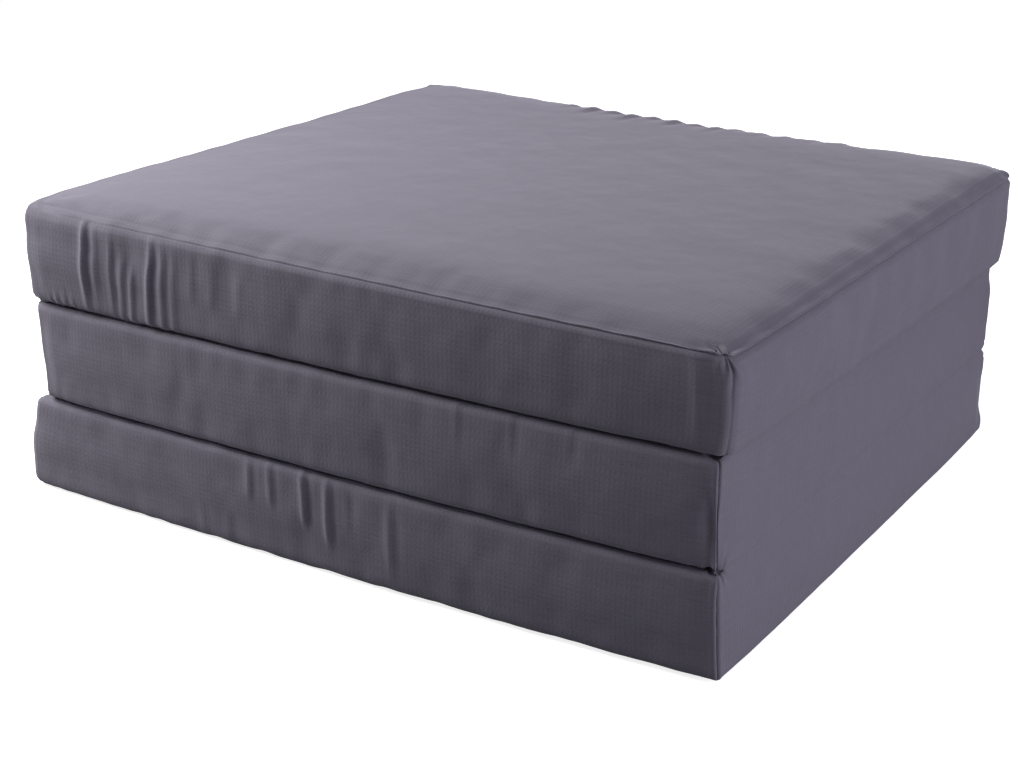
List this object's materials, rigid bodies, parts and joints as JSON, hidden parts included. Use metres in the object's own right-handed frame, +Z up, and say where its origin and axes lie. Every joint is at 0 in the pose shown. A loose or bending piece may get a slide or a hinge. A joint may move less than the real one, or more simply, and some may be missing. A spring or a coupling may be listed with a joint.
{
  "type": "futon mattress",
  "caption": "Folding futon mattress: thick foam panels in a zipped fabric cover, folded in a Z into a low stack.",
  "frame": {"origin": "centre of the underside of the folded stack", "axes": "+X along the panels towards the end with the lower fold, +Y across the panels towards the zipped back side, +Z up"},
  "size_m": [0.66, 0.6048, 0.2641],
  "materials": {
    "cover": "matte",
    "foam": "matte",
    "zip_tape": "matte",
    "zip_coil": "satin",
    "zip_metal": "satin"
  },
  "bodies": {
    "bottom_panel": {"bottom_foam_core": "foam", "bottom_lower_sheet": "cover", "bottom_upper_sheet": "cover", "bottom_front_boxing": "cover", "bottom_back_boxing_lower": "cover", "bottom_back_boxing_upper": "cover", "bottom_left_end_boxing": "cover", "lower_hinge_gusset_bottom_half": "cover", "bottom_zip_tape_lower": "zip_tape", "bottom_zip_coil_lower": "zip_coil", "bottom_zip_tape_upper": "zip_tape", "bottom_zip_coil_upper": "zip_coil", "bottom_zip_stop_left": "zip_metal", "bottom_zip_stop_right": "zip_metal"},
    "middle_panel": {"middle_foam_core": "foam", "middle_lower_sheet": "cover", "middle_upper_sheet": "cover", "middle_front_boxing": "cover", "middle_back_boxing_lower": "cover", "middle_back_boxing_upper": "cover", "lower_hinge_gusset_middle_half": "cover", "upper_hinge_gusset_middle_half": "cover", "middle_zip_tape_lower": "zip_tape", "middle_zip_coil_lower": "zip_coil", "middle_zip_tape_upper": "zip_tape", "middle_zip_coil_upper": "zip_coil", "middle_zip_stop_left": "zip_metal", "middle_zip_stop_right": "zip_metal"},
    "top_panel": {"top_foam_core": "foam", "top_lower_sheet": "cover", "top_upper_sheet": "cover", "top_front_boxing": "cover", "top_back_boxing_lower": "cover", "top_back_boxing_upper": "cover", "upper_hinge_gusset_top_half": "cover", "top_right_end_boxing": "cover", "top_zip_tape_lower": "zip_tape", "top_zip_coil_lower": "zip_coil", "top_zip_tape_upper": "zip_tape", "top_zip_coil_upper": "zip_coil", "top_zip_stop_left": "zip_metal", "top_zip_stop_right": "zip_metal"},
    "bottom_slider": {"bottom_zip_slider": "zip_metal"},
    "bottom_pull": {"bottom_zip_pull": "zip_metal"},
    "middle_slider": {"middle_zip_slider": "zip_metal"},
    "middle_pull": {"middle_zip_pull": "zip_metal"},
    "top_slider": {"top_zip_slider": "zip_metal"},
    "top_pull": {"top_zip_pull": "zip_metal"}
  },
  "joints": [
    {"name": "lower_fold", "type": "hinge", "parent": "bottom_panel", "child": "middle_panel", "pos_m": [0.33015, 0, 0.0879], "axis": [0, 1, 0], "range_deg": [0, 180]},
    {"name": "upper_fold", "type": "hinge", "parent": "middle_panel", "child": "top_panel", "pos_m": [-0.33015, 0, 0.1762], "axis": [0, -1, 0], "range_deg": [0, 180]},
    {"name": "bottom_zip_slide", "type": "slide", "parent": "bottom_panel", "child": "bottom_slider", "axis": [1, 0, 0], "range_m": [0, 0.5819]},
    {"name": "bottom_pull_swing", "type": "hinge", "parent": "bottom_slider", "child": "bottom_pull", "pos_m": [-0.28105, 0.3031, 0.04375], "axis": [0, 0, 1], "range_deg": [0, 180]},
    {"name": "middle_zip_slide", "type": "slide", "parent": "middle_panel", "child": "middle_slider", "axis": [1, 0, 0], "range_m": [0, 0.6018]},
    {"name": "middle_pull_swing", "type": "hinge", "parent": "middle_slider", "child": "middle_pull", "pos_m": [-0.3009, 0.3031, 0.13205], "axis": [0, 0, 1], "range_deg": [0, 180]},
    {"name": "top_zip_slide", "type": "slide", "parent": "top_panel", "child": "top_slider", "axis": [1, 0, 0], "range_m": [0, 0.5819]},
    {"name": "top_pull_swing", "type": "hinge", "parent": "top_slider", "child": "top_pull", "pos_m": [-0.3009, 0.3031, 0.22035], "axis": [0, 0, 1], "range_deg": [0, 180]}
  ]
}
